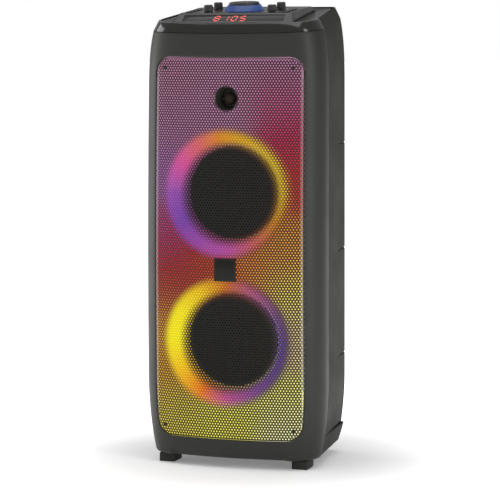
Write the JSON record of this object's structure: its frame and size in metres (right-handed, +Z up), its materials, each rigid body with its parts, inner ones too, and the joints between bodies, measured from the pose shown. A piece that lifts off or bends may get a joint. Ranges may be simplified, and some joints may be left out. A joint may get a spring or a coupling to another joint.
{
  "type": "party speaker",
  "caption": "Tower party speaker with a perforated steel grille over two woofers in lit rings, a tweeter, and a sloping control console with knobs and keys.",
  "frame": {"origin": "on the ground, under the middle of the speaker's box", "axes": "+Z up; the grille faces -Y; +X is to the right when looking at the grille"},
  "size_m": [0.355, 0.2662, 0.8784],
  "materials": {
    "matte_shell": "fine textured ABS, satin black",
    "gloss_trim": "polished black",
    "small_knob": "satin black with a fine grip",
    "screw": "black zinc",
    "grille_steel": "powder-coated perforated sheet",
    "light_panel": "translucent diffuser, lit from behind",
    "ring_light": "translucent diffuser, lit from behind",
    "board": "green solder mask",
    "baffle_wood": "raw board",
    "pressed_steel": "pressed and coated",
    "rubber": "satin",
    "keys": "satin silicone",
    "cone_paper": "coated paper pulp",
    "spider_cloth": "resin-stiffened cloth",
    "magnet": "ferrite and plated steel",
    "dome_silk": "coated silk",
    "knob_light": "translucent, lit blue",
    "display": "smoked acrylic",
    "battery_wrap": "shrink wrap"
  },
  "bodies": {
    "cabinet": {"front_bezel": "matte_shell", "rear_cabinet": "matte_shell", "base_tray": "matte_shell", "rear_plate": "matte_shell", "port_tube": "matte_shell", "tweeter_horn": "matte_shell", "mains_inlet": "matte_shell", "top_trim": "gloss_trim", "top_panel": "gloss_trim", "control_console": "gloss_trim", "badge": "gloss_trim", "grille_screw_top_left": "screw", "grille_screw_top_right": "screw", "grille_screw_bottom_left": "screw", "grille_screw_bottom_right": "screw", "grille": "grille_steel", "light_panel": "light_panel", "led_ring_lower": "ring_light", "led_ring_upper": "ring_light", "led_board_lower": "board", "led_board_upper": "board", "control_board": "board", "amp_board": "board", "power_supply_board": "board", "baffle": "baffle_wood", "basket_lower": "pressed_steel", "basket_upper": "pressed_steel", "battery_bracket": "pressed_steel", "surround_lower": "rubber", "surround_upper": "rubber", "foot_front_left": "rubber", "foot_front_right": "rubber", "foot_rear_left": "rubber", "foot_rear_right": "rubber", "spider_lower": "spider_cloth", "spider_upper": "spider_cloth", "magnet_lower": "magnet", "magnet_upper": "magnet", "tweeter_magnet": "magnet", "knob_light_ring": "knob_light", "display_window": "display", "battery": "battery_wrap"},
    "main_knob_body": {"main_knob": "gloss_trim"},
    "small_knob_left_front_body": {"small_knob_left_front": "small_knob"},
    "small_knob_left_rear_body": {"small_knob_left_rear": "small_knob"},
    "small_knob_right_front_body": {"small_knob_right_front": "small_knob"},
    "small_knob_right_rear_body": {"small_knob_right_rear": "small_knob"},
    "button_1_body": {"button_1": "keys"},
    "button_2_body": {"button_2": "keys"},
    "button_3_body": {"button_3": "keys"},
    "button_4_body": {"button_4": "keys"},
    "button_5_body": {"button_5": "keys"},
    "button_6_body": {"button_6": "keys"},
    "button_7_body": {"button_7": "keys"},
    "button_8_body": {"button_8": "keys"},
    "power_rocker_body": {"power_rocker": "gloss_trim"},
    "cone_lower_body": {"cone_lower": "cone_paper"},
    "cone_upper_body": {"cone_upper": "cone_paper"},
    "tweeter_dome_body": {"tweeter_dome": "dome_silk"}
  },
  "joints": [
    {"name": "main_knob_turn", "type": "hinge", "parent": "cabinet", "child": "main_knob_body", "pos_m": [0, -0.017, 0.85975], "axis": [0, -0.0995, 0.995], "continuous": true},
    {"name": "small_knob_left_front_turn", "type": "hinge", "parent": "cabinet", "child": "small_knob_left_front_body", "pos_m": [-0.064, -0.042, 0.85725], "axis": [0, -0.0995, 0.995], "range_deg": [-150, 150]},
    {"name": "small_knob_left_rear_turn", "type": "hinge", "parent": "cabinet", "child": "small_knob_left_rear_body", "pos_m": [-0.064, 0.015, 0.86295], "axis": [0, -0.0995, 0.995], "range_deg": [-150, 150]},
    {"name": "small_knob_right_front_turn", "type": "hinge", "parent": "cabinet", "child": "small_knob_right_front_body", "pos_m": [0.064, -0.042, 0.85725], "axis": [0, -0.0995, 0.995], "range_deg": [-150, 150]},
    {"name": "small_knob_right_rear_turn", "type": "hinge", "parent": "cabinet", "child": "small_knob_right_rear_body", "pos_m": [0.064, 0.015, 0.86295], "axis": [0, -0.0995, 0.995], "range_deg": [-150, 150]},
    {"name": "button_1_press", "type": "slide", "parent": "cabinet", "child": "button_1_body", "axis": [0, 0.0995, -0.995], "range_m": [0, 0.001], "stiffness_N_per_m": 300},
    {"name": "button_2_press", "type": "slide", "parent": "cabinet", "child": "button_2_body", "axis": [0, 0.0995, -0.995], "range_m": [0, 0.001], "stiffness_N_per_m": 300},
    {"name": "button_3_press", "type": "slide", "parent": "cabinet", "child": "button_3_body", "axis": [0, 0.0995, -0.995], "range_m": [0, 0.001], "stiffness_N_per_m": 300},
    {"name": "button_4_press", "type": "slide", "parent": "cabinet", "child": "button_4_body", "axis": [0, 0.0995, -0.995], "range_m": [0, 0.001], "stiffness_N_per_m": 300},
    {"name": "button_5_press", "type": "slide", "parent": "cabinet", "child": "button_5_body", "axis": [0, 0.0995, -0.995], "range_m": [0, 0.001], "stiffness_N_per_m": 300},
    {"name": "button_6_press", "type": "slide", "parent": "cabinet", "child": "button_6_body", "axis": [0, 0.0995, -0.995], "range_m": [0, 0.001], "stiffness_N_per_m": 300},
    {"name": "button_7_press", "type": "slide", "parent": "cabinet", "child": "button_7_body", "axis": [0, 0.0995, -0.995], "range_m": [0, 0.001], "stiffness_N_per_m": 300},
    {"name": "button_8_press", "type": "slide", "parent": "cabinet", "child": "button_8_body", "axis": [0, 0.0995, -0.995], "range_m": [0, 0.001], "stiffness_N_per_m": 300},
    {"name": "power_rocker_tilt", "type": "hinge", "parent": "cabinet", "child": "power_rocker_body", "pos_m": [0.045, 0.1257, 0.128], "axis": [0, 0, 1], "range_deg": [0, 14]},
    {"name": "cone_lower_stroke", "type": "slide", "parent": "cabinet", "child": "cone_lower_body", "axis": [0, -1, 0], "range_m": [-0.004, 0.004], "stiffness_N_per_m": 2000, "deforming": ["surround_lower", "spider_lower"]},
    {"name": "cone_upper_stroke", "type": "slide", "parent": "cabinet", "child": "cone_upper_body", "axis": [0, -1, 0], "range_m": [-0.004, 0.004], "stiffness_N_per_m": 2000, "deforming": ["surround_upper", "spider_upper"]},
    {"name": "tweeter_dome_stroke", "type": "slide", "parent": "cabinet", "child": "tweeter_dome_body", "axis": [0, -1, 0], "range_m": [-0.0003, 0.0003], "stiffness_N_per_m": 2000}
  ]
}
